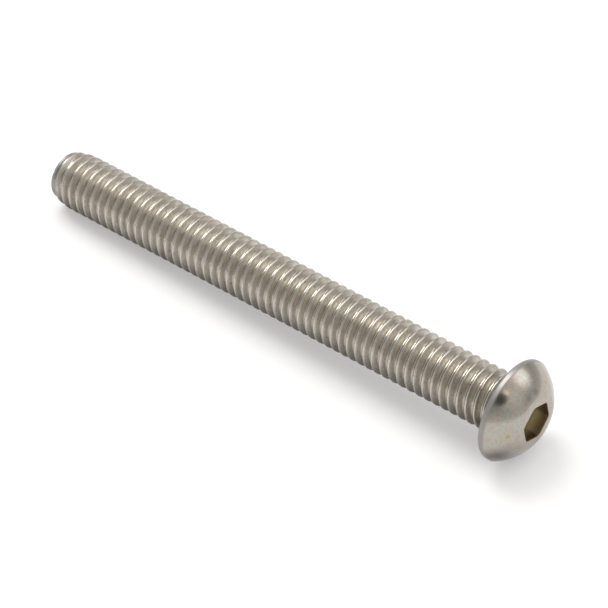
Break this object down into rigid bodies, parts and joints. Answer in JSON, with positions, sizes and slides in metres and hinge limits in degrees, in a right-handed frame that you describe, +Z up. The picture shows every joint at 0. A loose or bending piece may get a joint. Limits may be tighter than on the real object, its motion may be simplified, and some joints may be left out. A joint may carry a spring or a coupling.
{
  "type": "button head socket screw",
  "caption": "Stainless steel machine screw with a low domed head, a hexagonal socket and a right-hand thread along its whole shank, lying on its side.",
  "frame": {"origin": "on the surface that the screw lies on, under the centre of its overall box", "axes": "+X along the screw on the ground, from its point towards its head; +Z up, away from that surface"},
  "size_m": [0.0938, 0.0162, 0.0162],
  "materials": {
    "stainless_steel": "satin"
  },
  "bodies": {
    "root": {"screw": "stainless_steel"}
  },
  "joints": []
}
